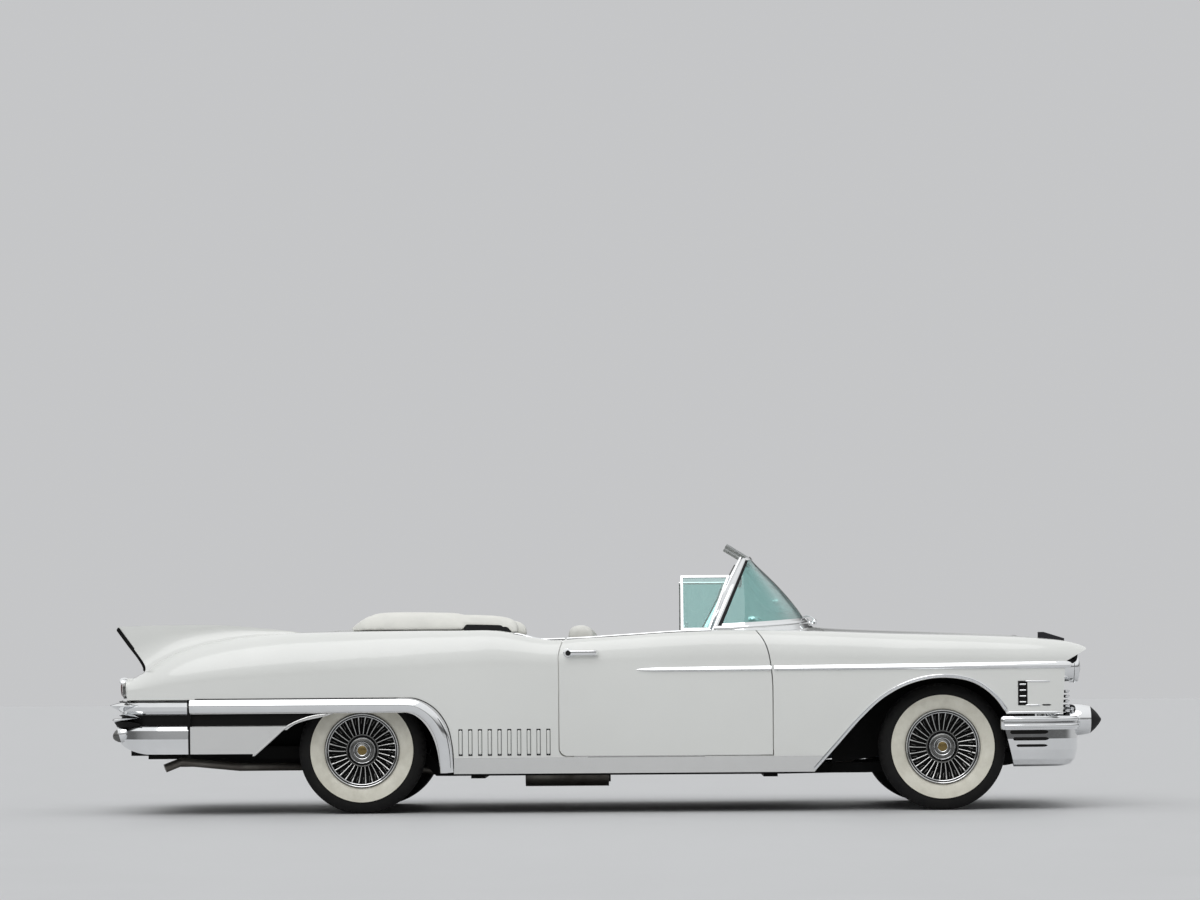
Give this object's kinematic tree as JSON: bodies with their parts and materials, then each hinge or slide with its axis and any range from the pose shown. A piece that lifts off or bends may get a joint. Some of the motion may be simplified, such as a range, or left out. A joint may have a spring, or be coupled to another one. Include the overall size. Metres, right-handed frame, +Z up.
{
  "type": "convertible car",
  "caption": "Full-size 1950s convertible with tail fins, wire wheels, a wraparound windshield and a folded top under its boot, with working doors, lids, steering and wheels.",
  "frame": {"origin": "on the floor at the middle of the overall length and width", "axes": "+X to the nose, +Y to the car's left, +Z up"},
  "size_m": [5.672, 2.0422, 1.526],
  "materials": {
    "body_paint": "gloss pearl ivory",
    "underbody_black": "satin black",
    "chrome_trim": "polished",
    "stainless_trim": "bright",
    "cast_block": "painted casting",
    "exhaust_steel": "plain",
    "lamp_glass": "clear",
    "red_lens": "clear red",
    "window_glass": "green tint",
    "tyre_rubber": "black with a white sidewall band",
    "rubber_tip": "matt",
    "seat_leather": "soft white",
    "boot_fabric": "white coated cloth",
    "dash_paint": "satin ivory",
    "wheel_plastic": "ivory",
    "visor_plastic": "pale"
  },
  "bodies": {
    "body": {"front_fender_right": "body_paint", "front_fender_left": "body_paint", "rear_quarter_right": "body_paint", "rear_quarter_left": "body_paint", "rear_deck": "body_paint", "tail_panel": "body_paint", "cowl": "body_paint", "floor_pan": "underbody_black", "rocker_panels": "stainless_trim", "chassis_frame": "underbody_black", "engine_block": "cast_block", "radiator": "underbody_black", "fuel_tank": "underbody_black", "exhaust": "exhaust_steel", "rear_axle": "underbody_black", "front_suspension": "underbody_black", "rear_skirts": "stainless_trim", "rear_bumper": "chrome_trim", "front_bumper": "chrome_trim", "bumper_tips": "rubber_tip", "nose_panel": "underbody_black", "grille": "chrome_trim", "headlamp_bezels": "chrome_trim", "headlamp_lenses": "lamp_glass", "tail_lamps": "red_lens", "fender_ornaments": "chrome_trim", "windshield_frame": "chrome_trim", "windshield_glass": "window_glass", "dashboard": "dash_paint", "steering_column": "wheel_plastic", "front_seat": "seat_leather", "rear_seat": "seat_leather", "boot_cover": "boot_fabric", "visors_and_mirror": "visor_plastic", "outside_mirror": "chrome_trim"},
    "hood_lid": {"hood": "body_paint"},
    "trunk": {"trunk_lid": "body_paint"},
    "door_right_body": {"door_right": "body_paint", "vent_window_right": "chrome_trim"},
    "door_left_body": {"door_left": "body_paint", "vent_window_left": "chrome_trim"},
    "knuckle_right": {"steering_knuckle_right": "cast_block"},
    "knuckle_left": {"steering_knuckle_left": "cast_block"},
    "wheel_front_right_body": {"tyre_front_right": "tyre_rubber", "wheel_front_right": "chrome_trim"},
    "wheel_front_left_body": {"tyre_front_left": "tyre_rubber", "wheel_front_left": "chrome_trim"},
    "wheel_rear_right_body": {"tyre_rear_right": "tyre_rubber", "wheel_rear_right": "chrome_trim"},
    "wheel_rear_left_body": {"tyre_rear_left": "tyre_rubber", "wheel_rear_left": "chrome_trim"},
    "steering_wheel_body": {"steering_wheel": "wheel_plastic"}
  },
  "joints": [
    {"name": "hood_hinge", "type": "hinge", "parent": "body", "child": "hood_lid", "pos_m": [1.243, 0, 1.052], "axis": [0, -1, 0], "range_deg": [0, 48]},
    {"name": "trunk_hinge", "type": "hinge", "parent": "body", "child": "trunk", "pos_m": [-1.563, 0, 1.056], "axis": [0, 1, 0], "range_deg": [0, 60]},
    {"name": "door_right_hinge", "type": "hinge", "parent": "body", "child": "door_right_body", "pos_m": [0.938, -1.016, 0.7], "axis": [0, 0, 1], "range_deg": [0, 68]},
    {"name": "door_left_hinge", "type": "hinge", "parent": "body", "child": "door_left_body", "pos_m": [0.938, 1.016, 0.7], "axis": [0, 0, -1], "range_deg": [0, 68]},
    {"name": "steer_left", "type": "hinge", "parent": "body", "child": "knuckle_left", "pos_m": [1.905, 0.655, 0.358], "axis": [0, 0, 1], "range_deg": [-30, 30]},
    {"name": "steer_right", "type": "hinge", "parent": "body", "child": "knuckle_right", "pos_m": [1.905, -0.655, 0.358], "axis": [0, 0, 1], "range_deg": [-30, 30]},
    {"name": "steering_wheel_turn", "type": "hinge", "parent": "body", "child": "steering_wheel_body", "pos_m": [0.585, 0.375, 0.985], "axis": [-0.9135, 0, 0.4067], "range_deg": [-540, 540]},
    {"name": "wheel_front_right_spin", "type": "hinge", "parent": "knuckle_right", "child": "wheel_front_right_body", "pos_m": [1.905, -0.7745, 0.358], "axis": [0, 1, 0], "continuous": true},
    {"name": "wheel_front_left_spin", "type": "hinge", "parent": "knuckle_left", "child": "wheel_front_left_body", "pos_m": [1.905, 0.7745, 0.358], "axis": [0, 1, 0], "continuous": true},
    {"name": "wheel_rear_right_spin", "type": "hinge", "parent": "body", "child": "wheel_rear_right_body", "pos_m": [-1.384, -0.7745, 0.358], "axis": [0, 1, 0], "continuous": true},
    {"name": "wheel_rear_left_spin", "type": "hinge", "parent": "body", "child": "wheel_rear_left_body", "pos_m": [-1.384, 0.7745, 0.358], "axis": [0, 1, 0], "continuous": true}
  ],
  "couplings": [
    {"joint": "steer_right", "follows": "steer_left", "ratio": 1},
    {"joint": "steering_wheel_turn", "follows": "steer_left", "ratio": 18}
  ]
}
